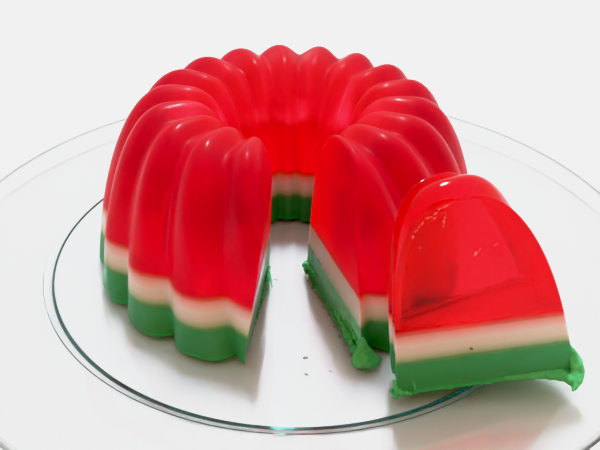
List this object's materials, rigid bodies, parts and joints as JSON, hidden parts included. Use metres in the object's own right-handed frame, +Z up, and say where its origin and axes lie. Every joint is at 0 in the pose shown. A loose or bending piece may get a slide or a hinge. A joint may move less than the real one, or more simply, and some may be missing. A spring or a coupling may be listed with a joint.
{
  "type": "moulded jelly",
  "caption": "Fluted ring of red, white and green layered jelly with a wedge cut out and a slice laid beside it, on a round clear glass plate.",
  "frame": {"origin": "centre of the plate's underside", "axes": "+Z up, +Y from the cut-out towards the back of the ring, +X towards the side where the slice lies"},
  "size_m": [0.34, 0.34, 0.0903],
  "materials": {
    "glass": "clear, polished, green at its edge",
    "green_jelly": "opaque set jelly, wet gloss",
    "white_jelly": "milky set jelly, soft gloss",
    "red_jelly": "translucent set jelly, wet gloss"
  },
  "bodies": {
    "root": {"plate": "glass", "ring_green": "green_jelly", "ring_white": "white_jelly", "ring_red": "red_jelly", "slice_green": "green_jelly", "slice_white": "white_jelly", "slice_red": "red_jelly"}
  },
  "joints": []
}
